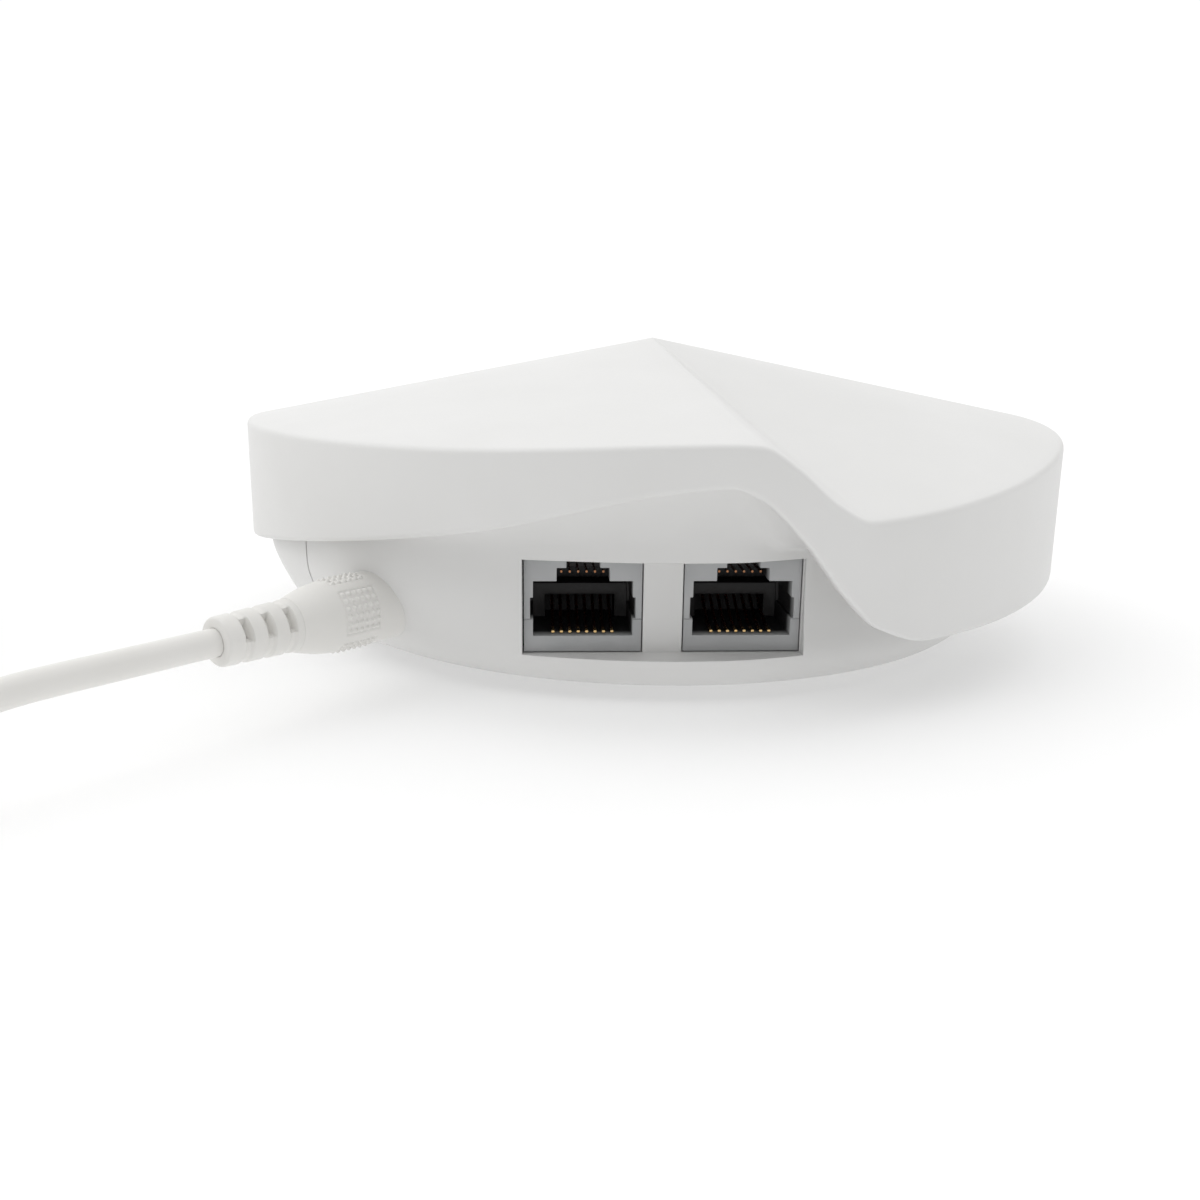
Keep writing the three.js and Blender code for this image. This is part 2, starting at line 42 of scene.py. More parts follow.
# ---- the case, in millimetres ----
COVER_R = 60
COVER_WALL = 1.8
TOP_THICK = 2.2
APEX_Z = 42.4
RIDGE_AZ = -84.3
HALF_TURN = 180
RIM = [
    (0, 32.4), (4, 30), (9, 25.8), (13, 23.9), (20, 24.3), (36, 26.1),
    (60, 29.2), (90, 30.7), (145, 31.3), (177, 32.6),
]
SKIRT = [
    (0, 26.7), (5, 22), (10, 15.8), (15, 11.3), (22, 9.2), (45, 9.9),
    (80, 12.4), (120, 17.5), (150, 22.3), (172, 27.4), (177, 27.8),
]

FLOOR_Z = 2.0
FLOOR_THICK = 1.8
WALL = 1.8
LID_GAP = 0.8
BOWL_TOP_R = 57.6
FLARED = [
    (46.8, 2), (48.2, 2.4), (51.2, 4.1), (54, 6.3), (56, 9.7), (57.4, 13.3), (57.6, 17), (57.6, 18.9),
]
UPRIGHT_R = [46.8, 48, 49.7, 50.8, 50.6, 50.4, 50.4, 50.5]
FLARE = [
    (0, 0), (11, -0.12), (22, -0.05), (40, 0.1), (60, 0.5), (80, 0.9), (100, 1),
    (125, 1), (134, 0.9), (143, 0.55), (152, 0.22), (163, 0.05), (177, 0),
]
SHELF_Z = 20.4
PANEL_SEAMS = (-145.3, -36.5)
PANEL_IN_R = 46.2
SEAM = 0.15

PORT_Y = -46.84
PORT_Z = (6.2, 17.9)
PORT_X = (-19.65, 14.1)
JACK_X = {"left": -12.4, "right": 6.75}
JACK_W = 14.1
JACK_TOP = 18.6
JACK_DEPTH = 15
CAVITY_W = 11.9
CONTACT_PITCH = 1.016

BOSS_R = 40.5
BOSS_AZ = (40, 140, -158, -22)
RESET_AT = (-20, 30)

# ---- the power lead, in millimetres ----
POWER_AZ = -132.3
POWER_Z = 10.8
CUP_R = 4.95
CUP_FLOOR = 48.9  # along the inlet's axis
PLUG_R = 4.4
PLUG_FACE = 50.3
PLUG_END = 68.8
RELIEF = (68.5, 78.3)
CORD_R = 1.6
LEAD = [
    (69.4, 10.8), (75, 10.8), (80.6, 10.8), (86, 10.8), (91, 10.8), (96, 10.8), (100, 10.7),
    (104, 10.3), (108, 9.4), (112, 8.1), (116, 6.6), (120, 5.1), (124, 3.8), (128, 2.85),
    (133.5, 2.3), (140, 2.2),
]
LEAD_TO_COIL = 147
COIL_R = (14.1, 24.15)
COIL_Z = (2.25, 12)
COIL_LAYERS = 4
LAYER_TURNS = 3
CLIMB = 90  # degrees of turn that the cord takes to climb to the next layer
COIL_DEGREES = 4097.7  # the winding ends where the cord points at the adapter
POINTS_PER_TURN = 24
ADAPTER_Y = (-57, 1)
ADAPTER_W = 28
ADAPTER_H = 38
BLADE_X = 6.35  # from the adapter's middle to each blade

scene = bpy.context.scene


def polar(r, azimuth, z=0.0):
    a = math.radians(azimuth)
    return Vector((r * math.cos(a), r * math.sin(a), z))


# ---- camera ----
def make_camera():
    pan, tilt, roll = (math.radians(a) for a in (3.483, 13.884, 0.72))
    forward = Vector((math.sin(pan) * math.cos(tilt), math.cos(pan) * math.cos(tilt), -math.sin(tilt)))
    level = Vector((math.cos(pan), -math.sin(pan), 0))
    upright = level.cross(forward)
    x = level * math.cos(roll) + upright * math.sin(roll)
    y = upright * math.cos(roll) - level * math.sin(roll)
    data = bpy.data.cameras.new("camera")
    data.sensor_width = 36
    data.lens = 34.803
    data.clip_start = 0.01
    camera = bpy.data.objects.new("camera", data)
    scene.collection.objects.link(camera)
    turn = Matrix((x, y, -forward)).transposed().to_4x4()
    camera.matrix_world = Matrix.Translation(Vector((-18.529, -180.796, 45.884)) * MM) @ turn
    scene.camera = camera


make_camera()


# ---- mesh helpers ----
def new_piece(name, points, faces):
    mesh = bpy.data.meshes.new(name)
    mesh.from_pydata([Vector(p) * MM for p in points], [], faces)
    mesh.update()
    piece = bpy.data.objects.new(name, mesh)
    scene.collection.objects.link(piece)
    return piece


def shade(piece, crease=35):
    mesh = piece.data
    mesh.polygons.foreach_set("use_smooth", [True] * len(mesh.polygons))
    mesh.set_sharp_from_angle(angle=math.radians(crease))
    return piece


def finish_piece(piece, nodes, body, look):
    piece.data.materials.clear()
    piece.data.materials.append(look)
    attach(piece, body)
    if nodes:
        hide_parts(*nodes)


def settle(piece):
    """Makes the modifiers' result the piece's own mesh."""
    bpy.context.view_layer.update()
    seen = piece.evaluated_get(bpy.context.evaluated_depsgraph_get())
    mesh = bpy.data.meshes.new_from_object(seen)
    piece.modifiers.clear()
    piece.data = mesh


def combine(piece, tool, operation):
    modifier = piece.modifiers.new("combine", "BOOLEAN")
    modifier.operation = operation
    modifier.solver = "EXACT"
    modifier.use_self = True
    modifier.object = tool
    settle(piece)
    bpy.data.objects.remove(tool)
    return piece


def round_edges(piece, width, segments=3, angle=40):
    modifier = piece.modifiers.new("round", "BEVEL")
    modifier.width = width * MM
    modifier.segments = segments
    modifier.limit_method = "ANGLE"
    modifier.angle_limit = math.radians(angle)
    modifier.use_clamp_overlap = True
    settle(piece)
    return piece


def joined(name, parts):
    """One mesh out of several lists of (points, faces)."""
    points, faces = [], []
    for part_points, part_faces in parts:
        start = len(points)
        points += part_points
        faces += [tuple(start + i for i in f) for f in part_faces]
    return new_piece(name, points, faces)


def box(x, y, z):
    points = [(a, b, c) for c in z for b in y for a in x]
    return points, [(0, 2, 3, 1), (4, 5, 7, 6), (0, 1, 5, 4), (2, 6, 7, 3), (0, 4, 6, 2), (1, 3, 7, 5)]


def box_at(x, y, w, d, z):
    return box((x - w / 2, x + w / 2), (y - d / 2, y + d / 2), z)


def turned(profile, sides=64, place=None):
    """A body of revolution: the profile is (radius, height) and starts and ends on the axis."""
    place = place or (lambda p: p)
    inner = profile[1:-1]
    points = [place(Vector((0, 0, profile[0][1])))]
    for i in range(sides):
        points += [place(polar(r, 360 * i / sides, z)) for r, z in inner]
    points.append(place(Vector((0, 0, profile[-1][1]))))
    n = len(inner)
    at = lambda i, k: 1 + (i % sides) * n + k
    faces = []
    for i in range(sides):
        faces.append((0, at(i + 1, 0), at(i, 0)))
        faces += [(at(i, k), at(i + 1, k), at(i + 1, k + 1), at(i, k + 1)) for k in range(n - 1)]
        faces.append((at(i, n - 1), at(i + 1, n - 1), len(points) - 1))
    return points, faces


def ring_body(profile, sides=96, place=None):
    """A ring of revolution round a closed (radius, height) profile."""
    place = place or (lambda p: p)
    n = len(profile)
    points = [place(polar(r, 360 * i / sides, z)) for i in range(sides) for r, z in profile]
    at = lambda i, k: (i % sides) * n + k % n
    faces = [
        (at(i, k), at(i + 1, k), at(i + 1, k + 1), at(i, k + 1)) for i in range(sides) for k in range(n)
    ]
    return points, faces


def along_inlet(p):
    """Lays a point of a body turned round Z out along the power inlet's axis."""
    out = polar(1, POWER_AZ)
    side = polar(1, POWER_AZ - 90)
    return out * p.z + side * p.x + Vector((0, 0, POWER_Z + p.y))


def bend(start, corner, end, steps=5):
    """Points of a round corner between two others."""
    points = []
    for i in range(steps + 1):
        t = i / steps
        points.append(tuple((1 - t) ** 2 * a + 2 * t * (1 - t) * c + t * t * b
                            for a, c, b in zip(start, corner, end)))
    return points


def smooth_line(points, steps=4):
    """A Catmull-Rom curve through the points."""
    line = []
    ends = [points[0]] + list(points) + [points[-1]]
    for a, b, c, d in zip(ends, ends[1:], ends[2:], ends[3:]):
        for i in range(steps):
            t = i / steps
            line.append(tuple(
                0.5 * (2 * q + (r - p) * t + (2 * p - 5 * q + 4 * r - s) * t * t
                       + (3 * q - p - 3 * r + s) * t ** 3)
                for p, q, r, s in zip(a, b, c, d)
            ))
    line.append(tuple(points[-1]))
    return line


# ---- materials ----
def new_look(name, roughness, metallic=0.0):
    look = bpy.data.materials.new(name)
    look.use_nodes = True
    shader = look.node_tree.nodes["Principled BSDF"]
    shader.inputs["Roughness"].default_value = roughness
    shader.inputs["Metallic"].default_value = metallic
    return look, shader


def pattern(look, kind, scale, stretch=(1, 1, 1), turn=0.0, **sockets):
    """A texture laid out in the object's own space, in metres."""
    tree = look.node_tree
    place = tree.nodes.new("ShaderNodeTexCoord")
    mapping = tree.nodes.new("ShaderNodeMapping")
    mapping.inputs["Scale"].default_value = stretch
    mapping.inputs["Rotation"].default_value = (0, 0, math.radians(turn))
    texture = tree.nodes.new(kind)
    texture.inputs["Scale"].default_value = scale
    for socket, value in sockets.items():
        texture.inputs[socket].default_value = value
    tree.links.new(place.outputs["Object"], mapping.inputs["Vector"])
    tree.links.new(mapping.outputs["Vector"], texture.inputs["Vector"])
    return texture


def spread(look, source, low, high, span=(0.3, 0.7)):
    """Maps a texture's value from one span to another."""
    node = look.node_tree.nodes.new("ShaderNodeMapRange")
    for socket, value in zip(("From Min", "From Max", "To Min", "To Max"), (*span, low, high)):
        node.inputs[socket].default_value = value
    look.node_tree.links.new(source, node.inputs["Value"])
    return node.outputs["Result"]


def blend_colour(look, factor, first, second):
    node = look.node_tree.nodes.new("ShaderNodeMix")
    node.data_type = "RGBA"
    for socket, colour in ((6, first), (7, second)):
        if isinstance(colour, tuple):
            node.inputs[socket].default_value = (*colour, 1)
        else:
            look.node_tree.links.new(colour, node.inputs[socket])
    look.node_tree.links.new(factor, node.inputs[0])
    return node.outputs[2]


def depth_along_y(look, start, end):
    """0 in front of y = start and 1 behind y = end, in millimetres."""
    tree = look.node_tree
    place = tree.nodes.new("ShaderNodeTexCoord")
    split = tree.nodes.new("ShaderNodeSeparateXYZ")
    tree.links.new(place.outputs["Object"], split.inputs["Vector"])
    return spread(look, split.outputs["Y"], 0, 1, (start * MM, end * MM))


def emboss(look, shader, height, depth, strength=0.3, rounding=None):
    """Bumps the surface, depth in millimetres, and softens sharp edges by the rounding."""
    tree = look.node_tree
    bump = tree.nodes.new("ShaderNodeBump")
    bump.inputs["Distance"].default_value = depth * MM
    bump.inputs["Strength"].default_value = strength
    tree.links.new(height, bump.inputs["Height"])
    if rounding:
        bevel = tree.nodes.new("ShaderNodeBevel")
        bevel.samples = 6
        bevel.inputs["Radius"].default_value = rounding * MM
        tree.links.new(bevel.outputs["Normal"], bump.inputs["Normal"])
    tree.links.new(bump.outputs["Normal"], shader.inputs["Normal"])


def colour_in(look, shader, colour):
    look.node_tree.links.new(colour, shader.inputs["Base Color"])


def roughness_in(look, shader, value):
    look.node_tree.links.new(value, shader.inputs["Roughness"])


def moulded(name, tones, roughness, grain=0.35, depth=0.02, rounding=0.2):
    """Moulded plastic with a spark-eroded skin: faint clouds of tone and a fine grain."""
    look, shader = new_look(name, roughness)
    clouds = pattern(look, "ShaderNodeTexNoise", 45, Detail=3, Roughness=0.55)
    skin = pattern(look, "ShaderNodeTexNoise", 1000 / grain, Detail=2, Roughness=0.6)
    colour_in(look, shader, blend_colour(look, spread(look, clouds.outputs["Fac"], 0, 1), *tones))
    roughness_in(look, shader, spread(look, skin.outputs["Fac"], roughness - 0.05, roughness + 0.07))
    emboss(look, shader, skin.outputs["Fac"], depth, rounding=rounding)
    return look


def jack_grey():
    """Grey housing plastic that turns to black inside the cavity: partly the black insert, partly painted
    shade of the deep recess.
    """
    look, shader = new_look("jack_grey", 0.5)
    clouds = pattern(look, "ShaderNodeTexNoise", 130, Detail=3)
    skin = pattern(look, "ShaderNodeTexNoise", 4200, Detail=2)
    tone = spread(look, clouds.outputs["Fac"], 0, 1)
    face = blend_colour(look, tone, (0.4, 0.41, 0.415), (0.46, 0.465, 0.47))
    # painted shade: the cavity walls fade to near black with depth, partly the black insert and partly
    # the shade inside the recess
    inside = depth_along_y(look, PORT_Y + 0.2, PORT_Y + 2.3)
    colour_in(look, shader, blend_colour(look, inside, face, (0.018, 0.017, 0.018)))
    roughness_in(look, shader, spread(look, skin.outputs["Fac"], 0.42, 0.55))
    emboss(look, shader, skin.outputs["Fac"], 0.015, rounding=0.06)
    return look


def contact_gold():
    """Gold plating on the tips that darkens to a dark reddish tone further in: partly the bare alloy,
    partly painted shade inside the jack.
    """
    look, shader = new_look("contact_gold", 0.28, 1.0)
    wear = pattern(look, "ShaderNodeTexNoise", 1500, Detail=4)
    # painted shade: the contacts darken with depth into the jack, partly bare reddish alloy and partly
    # the shade of the cavity
    deep = depth_along_y(look, PORT_Y + 1.5, PORT_Y + 2.6)
    worn = spread(look, wear.outputs["Fac"], 0, 1)
    gold = blend_colour(look, worn, (0.78, 0.5, 0.2), (0.95, 0.68, 0.33))
    colour_in(look, shader, blend_colour(look, deep, gold, (0.2, 0.06, 0.04)))
    roughness_in(look, shader, spread(look, wear.outputs["Fac"], 0.2, 0.38))
    return look


def metal(name, tones, roughness, stretch=(1, 1, 12), scale=900, depth=0.006):
    """Bare metal with fine drawn or brushed lines."""
    look, shader = new_look(name, roughness, 1.0)
    lines = pattern(look, "ShaderNodeTexNoise", scale, stretch, Detail=4, Roughness=0.65)
    stain = pattern(look, "ShaderNodeTexNoise", 120, Detail=3)
    colour_in(look, shader, blend_colour(look, spread(look, stain.outputs["Fac"], 0, 1), *tones))
    roughness_in(look, shader, spread(look, lines.outputs["Fac"], roughness - 0.08, roughness + 0.12))
    emboss(look, shader, lines.outputs["Fac"], depth, 0.25, rounding=0.12)
    return look


def circuit_board():
    """Solder mask over copper tracks, with tinned pads."""
    look, shader = new_look("board_green", 0.4)
    tracks = pattern(look, "ShaderNodeTexBrick", 260, (1, 1, 0), Bias=0.0)
    tracks.inputs["Mortar Size"].default_value = 0.09
    tracks.inputs["Brick Width"].default_value = 1.6
    tracks.inputs["Row Height"].default_value = 0.42
    across = pattern(look, "ShaderNodeTexBrick", 190, (1, 1, 0), 90, Bias=0.0)
    across.inputs["Mortar Size"].default_value = 0.08
    pads = pattern(look, "ShaderNodeTexVoronoi", 330, (1, 1, 0), Randomness=0.5)
    mask, copper = (0.012, 0.075, 0.035), (0.03, 0.16, 0.07)
    colour = blend_colour(look, tracks.outputs["Fac"], mask, copper)
    colour = blend_colour(look, spread(look, across.outputs["Fac"], 0, 0.7, (0, 1)), colour, copper)
    tinned = spread(look, pads.outputs["Distance"], 1, 0, (0.12, 0.15))
    colour_in(look, shader, blend_colour(look, tinned, colour, (0.62, 0.6, 0.55)))
    emboss(look, shader, tracks.outputs["Fac"], 0.03, 0.5, rounding=0.1)
    return look


def soft_rubber(name, tones, roughness=0.8):
    look, shader = new_look(name, roughness)
    pores = pattern(look, "ShaderNodeTexVoronoi", 2200, Randomness=1.0)
    dust = pattern(look, "ShaderNodeTexNoise", 300, Detail=4)
    colour_in(look, shader, blend_colour(look, spread(look, dust.outputs["Fac"], 0, 1), *tones))
    open_pores = spread(look, pores.outputs["Distance"], roughness, roughness + 0.15, (0, 0.7))
    roughness_in(look, shader, open_pores)
    emboss(look, shader, pores.outputs["Distance"], 0.03, 0.35, rounding=0.2)
    return look


def clear_plastic():
    look, shader = new_look("lamp_clear", 0.15)
    shader.inputs["Transmission Weight"].default_value = 0.7
    haze = pattern(look, "ShaderNodeTexNoise", 700, Detail=3)
    clouds = spread(look, haze.outputs["Fac"], 0, 1)
    colour_in(look, shader, blend_colour(look, clouds, (0.8, 0.85, 0.87), (0.92, 0.95, 0.96)))
    roughness_in(look, shader, spread(look, haze.outputs["Fac"], 0.1, 0.3))
    return look


def woven_strap():
    """The hook-and-loop strap: a close weave with a fuzzy sheen."""
    look, shader = new_look("strap", 0.85)
    shader.inputs["Sheen Weight"].default_value = 0.4
    warp = pattern(look, "ShaderNodeTexWave", 900, Distortion=1.5)
    fuzz = pattern(look, "ShaderNodeTexNoise", 2600, Detail=4)
    weave = blend_colour(look, warp.outputs["Fac"], (0.03, 0.03, 0.032), (0.075, 0.075, 0.08))
    colour_in(look, shader, weave)
    roughness_in(look, shader, spread(look, fuzz.outputs["Fac"], 0.75, 0.95))
    emboss(look, shader, fuzz.outputs["Fac"], 0.12, 0.6)
    return look


LOOKS = {
    "case_white": moulded("case_white", ((0.748, 0.746, 0.735), (0.778, 0.776, 0.767)), 0.46),
    "lead_white": moulded(
        "lead_white", ((0.775, 0.765, 0.735), (0.81, 0.80, 0.775)), 0.42, 0.5, 0.015, 0.15,
    ),
    "part_black": moulded(
        "part_black", ((0.012, 0.012, 0.013), (0.03, 0.03, 0.032)), 0.5, 0.2, 0.03, 0.15,
    ),
    "jack_grey": jack_grey(),
    "contact_gold": contact_gold(),
    "nickel": metal("nickel", ((0.62, 0.6, 0.56), (0.72, 0.7, 0.66)), 0.28),
    "screw_steel": metal("screw_steel", ((0.4, 0.4, 0.41), (0.55, 0.55, 0.56)), 0.35, scale=1500),
    "spreader_aluminium": metal(
        "spreader_aluminium", ((0.68, 0.69, 0.7), (0.8, 0.81, 0.82)), 0.42, (1, 14, 1),
    ),
    "board_green": circuit_board(),
    "foot_rubber": soft_rubber("foot_rubber", ((0.46, 0.46, 0.45), (0.56, 0.56, 0.55))),
    "thermal_pad": soft_rubber("thermal_pad", ((0.2, 0.27, 0.36), (0.27, 0.35, 0.45)), 0.75),
    "lamp_clear": clear_plastic(),
    "strap": woven_strap(),
}


# ---- the cord: from the plug, down to the floor, into its coil and on to the adapter ----
COIL_AT = polar(LEAD_TO_COIL, POWER_AZ) + polar(COIL_R[1], POWER_AZ - 90)
LAYER_PITCH = (COIL_Z[1] - COIL_Z[0]) / (COIL_LAYERS - 1)


def coil_section(turned_by):
    """Distance from the coil's middle and height after so many degrees of winding."""
    layer_degrees = LAYER_TURNS * 360
    layer = min(int(turned_by // (layer_degrees + CLIMB)), COIL_LAYERS - 1)
    done = turned_by - layer * (layer_degrees + CLIMB)
    inwards = layer % 2 == 0
    across = min(done / layer_degrees, 1) * (COIL_R[1] - COIL_R[0])
    climb = max(0, (done - layer_degrees) / CLIMB)
    r = COIL_R[1] - across if inwards else COIL_R[0] + across
    return r, COIL_Z[0] + LAYER_PITCH * (layer + climb * climb * (3 - 2 * climb))


def cord_route():
    points = [polar(r, POWER_AZ, z) for r, z in LEAD]
    start = POWER_AZ + 90
    steps = round(COIL_DEGREES / 360 * POINTS_PER_TURN)
    for i in range(steps + 1):
        turned_by = COIL_DEGREES * i / steps
        r, z = coil_section(turned_by)
        points.append(COIL_AT + polar(r, start - turned_by, z))
    leave = points[-1]
    for y in (-86, -79, -72, -65, ADAPTER_Y[0] - 0.6, ADAPTER_Y[0] + 5):
        points.append(Vector((leave.x, y, leave.z)))
    return points


def make_cord():
    curve = bpy.data.curves.new("cord", "CURVE")
    curve.dimensions = "3D"
    curve.bevel_depth = CORD_R * MM
    curve.bevel_resolution = 5
    curve.resolution_u = 4
    curve.use_fill_caps = True
    route = cord_route()
    spline = curve.splines.new("BEZIER")
    spline.bezier_points.add(len(route) - 1)
    for knot, point in zip(spline.bezier_points, route):
        knot.co = point * MM
        knot.handle_left_type = knot.handle_right_type = "AUTO"
    cord = bpy.data.objects.new("cord", curve)
    scene.collection.objects.link(cord)
    nodes = ["power_cord", "cord_coil", "cord_tail"]
    finish_piece(cord, nodes, "power_lead", LOOKS["lead_white"])
    return cord, route[-1].x


cord, ADAPTER_X = make_cord()


# ---- the swirl of the cover ----
def round_blade(heights):
    """A smooth line through the heights of one half turn, which repeats at the next ridge."""
    n = len(heights)

    def at(i):
        return heights[i % n][0] + HALF_TURN * (i // n), heights[i % n][1]

    def slope(i):
        (x0, y0), (x1, y1), (x2, y2) = at(i - 1), at(i), at(i + 1)
        before, after = (y1 - y0) / (x1 - x0), (y2 - y1) / (x2 - x1)
        return 0 if before * after <= 0 else 2 * before * after / (before + after)

    def height(azimuth):
        t = (azimuth - RIDGE_AZ) % HALF_TURN
        i = max(k for k in range(n) if heights[k][0] <= t)
        (x0, y0), (x1, y1) = at(i), at(i + 1)
        h = x1 - x0
        u = (t - x0) / h
        low = y0 * (1 + 2 * u) * (1 - u) ** 2 + h * slope(i) * u * (1 - u) ** 2
        return low + y1 * u * u * (3 - 2 * u) + h * slope(i + 1) * u * u * (u - 1)

    return height


rim_z = round_blade(RIM)
skirt_z = round_blade(SKIRT)
flare = round_blade(FLARE)


def azimuths(fine=0.5, coarse=1.5):
    """Directions round the case, close together at the two steps."""
    found = []
    for ridge in (RIDGE_AZ, RIDGE_AZ + HALF_TURN):
        a = -6.0
        while a < HALF_TURN - 6 - 1e-6:
            found.append(ridge + a)
            a += fine if a < 24 else coarse
    return found


def swept(section, directions):
    """A closed body round Z: section(azimuth) runs from the lower pole out and back to the upper one."""
    rows = [section(a) for a in directions]
    inner = len(rows[0]) - 2
    points = [(0, 0, rows[0][0][1])]
    for a, row in zip(directions, rows):
        points += [polar(r, a, z) for r, z in row[1:-1]]
    points.append((0, 0, rows[0][-1][1]))
    n = len(rows)
    at = lambda i, k: 1 + (i % n) * inner + k
    faces = []
    for i in range(n):
        faces.append((0, at(i + 1, 0), at(i, 0)))
        faces += [(at(i, k), at(i + 1, k), at(i + 1, k + 1), at(i, k + 1)) for k in range(inner - 1)]
        faces.append((at(i, inner - 1), at(i + 1, inner - 1), len(points) - 1))
    return points, faces


def top_z(r, azimuth):
    return APEX_Z + (rim_z(azimuth) - APEX_Z) * r / COVER_R


def cover_section(a):
    inside = COVER_R - COVER_WALL
    bottom = skirt_z(a)
    under = lambda r: (r, top_z(r, a) - TOP_THICK)
    edge = top_z(COVER_R, a)
    rim = bend((COVER_R, edge - 0.75), (COVER_R, edge), (COVER_R - 0.7, top_z(COVER_R - 0.7, a)))
    lip = bend((COVER_R - 0.8, bottom), (COVER_R, bottom), (COVER_R, bottom + 0.8))
    rings = (58.5, 57, 54, 50, 45, 40, 35, 30, 25, 20, 16, 12, 8, 5, 3, 1.5, 0.6)
    crown = [(r, top_z(r, a)) for r in rings]
    hollow = [under(r) for r in (2, 10, 20, 30, 40, 50, inside - 1)]
    return (
        [(0, APEX_Z - TOP_THICK)] + hollow
        + [(inside, under(inside)[1] - 1), (inside, bottom + 0.4), (inside + 0.3, bottom)]
        + lip + rim + crown + [(0, APEX_Z)]
    )


def make_cover():
    parts = [swept(cover_section, azimuths())]
    for a in BOSS_AZ:
        at = polar(BOSS_R, a)
        top = top_z(BOSS_R, a) - TOP_THICK + 0.6
        profile = [(1.4, 6.5), (1.6, 6.5), (3.1, 6.5), (3.1, top), (1.4, top)]
        parts.append(ring_body(profile, 32, lambda p: p + at))
    cover = shade(joined("cover", parts), 50)
    finish_piece(cover, ["top_cover"], "router", LOOKS["case_white"])


# ---- the lower case and its port panel ----
def wall_top(azimuth):
    return rim_z(azimuth) - TOP_THICK + 0.4 - LID_GAP


def bowl_line(a):
    """The outside of the lower case: flared where the skirt is low, upright round the ports."""
    return [(u + flare(a) * (r - u), z) for u, (r, z) in zip(UPRIGHT_R, FLARED)]


def cove(a):
    """The hollow curve that leads from the upright wall out to the skirt."""
    r, z = bowl_line(a)[-1]
    top = min(max(skirt_z(a) + 1.5, SHELF_Z), wall_top(a) - 0.5)
    turns = [math.radians(t) for t in range(10, 91, 10)]
    return [(r + (BOWL_TOP_R - r) * (1 - math.cos(t)), z + (top - z) * math.sin(t)) for t in turns]


def bowl_outside(a):
    return [(0, FLOOR_Z), (20, FLOOR_Z), (40, FLOOR_Z)] + smooth_line(bowl_line(a)) + cove(a)


def bowl_shell_section(a):
    top = wall_top(a)
    inner = [(r - WALL, z + 1.1) for r, z in bowl_line(a)[:1:-1]]
    rim = bend((BOWL_TOP_R, top - 0.25), (BOWL_TOP_R, top), (BOWL_TOP_R - 0.25, top), 3)
    floor = [(r, FLOOR_Z + FLOOR_THICK) for r in (45, 20, 0)]
    return bowl_outside(a) + rim + [(inner[0][0], top)] + inner + floor


def bowl_solid_section(a):
    return bowl_outside(a) + [(BOWL_TOP_R, wall_top(a)), (44, wall_top(a)), (0, 50)]


def wedge(name, grow):
    """The sector of the wall that the port panel fills, outside the floor's edge."""
    outline = []
    for seam, side in zip(PANEL_SEAMS, (-1, 1)):
        shift = polar(side * grow, seam + 90)
        pair = [polar(30, seam) + shift, polar(80, seam) + shift]
        outline += pair if side < 0 else [Vector((0, -110, 0))] + pair[::-1]
    n = len(outline)
    points = [p + Vector((0, 0, z)) for z in (-1, 60) for p in outline]
    faces = [tuple(range(n))[::-1], tuple(range(n, 2 * n))]
    faces += [(i, (i + 1) % n, n + (i + 1) % n, n + i) for i in range(n)]
    sector = new_piece(name, points, faces)
    top = FLOOR_Z + FLOOR_THICK + 0.2 - grow
    r = PANEL_IN_R - grow
    hub = joined("hub", [turned([(0, -2), (r, -2), (r, top), (0, top)], 144)])
    return combine(sector, hub, "DIFFERENCE")


def make_housing():
    housing = joined("housing", [swept(bowl_shell_section, azimuths(1, 2))])
    combine(housing, wedge("gap", SEAM), "DIFFERENCE")
    cuts = [box_at(i * 5, y, 1.8, 15, (0, 5)) for i in range(-3, 4) for y in (14, -12)]
    for a in BOSS_AZ:
        at = polar(BOSS_R, a)
        steps = [(0, 0), (4.7, 0), (4.7, 2.6), (2.8, 2.6), (2.8, 4.1), (1.5, 4.1), (1.5, 6), (0, 6)]
        cuts.append(turned(steps, 48, lambda p: p + at))
    cuts.append(turned([(0, 0), (1.8, 0), (1.8, 5), (0, 5)], 32, lambda p: p + Vector((*RESET_AT, 0))))
    combine(housing, joined("cuts", cuts), "DIFFERENCE")
    shade(housing, 30)
    finish_piece(housing, ["lower_housing"], "router", LOOKS["case_white"])


def inlet_rod(r, start, end, sides=64):
    return turned([(0, start), (r, start), (r, end), (0, end)], sides, along_inlet)


def make_panel():
    kept = joined("kept", [swept(bowl_solid_section, azimuths(1, 2))])
    block = box((PORT_X[0] - 1.8, PORT_X[1] + 1.8), (-58, PORT_Y + 1.9), (4.3, PORT_Z[1] + 1.8))
    combine(kept, joined("blocks", [block, inlet_rod(CUP_R + 1.4, 47.5, 62)]), "INTERSECT")
    panel = joined("panel", [swept(bowl_shell_section, azimuths(1, 2))])
    combine(panel, wedge("sector", -SEAM), "INTERSECT")
    combine(panel, kept, "UNION")
    cuts = [box(PORT_X, (-70, PORT_Y), PORT_Z)]
    window = (PORT_Z[0], JACK_TOP + 0.25)
    cuts += [box_at(x, PORT_Y + 1.85, JACK_W + 0.3, 4.3, window) for x in JACK_X.values()]
    cuts += [inlet_rod(CUP_R, CUP_FLOOR, 70, 96), inlet_rod(3.3, 40, 60)]
    combine(panel, joined("cuts", cuts), "DIFFERENCE")
    shade(panel, 30)
    finish_piece(panel, ["port_panel"], "router", LOOKS["case_white"])


def make_feet():
    for i, a in enumerate(BOSS_AZ, 1):
        at = polar(BOSS_R, a)
        edge = bend((3.9, 0), (4.5, 0), (4.5, 0.6), 4)
        profile = [(0, 0.25), (2.6, 0.25), (3.0, 0)] + edge + [(4.5, 2.4), (4.4, 2.5), (0, 2.5)]
        foot = shade(joined(f"foot_pad_{i}", [turned(profile, 64, lambda p: p + at)]))
        finish_piece(foot, [f"foot_{i}"], "router", LOOKS["foot_rubber"])


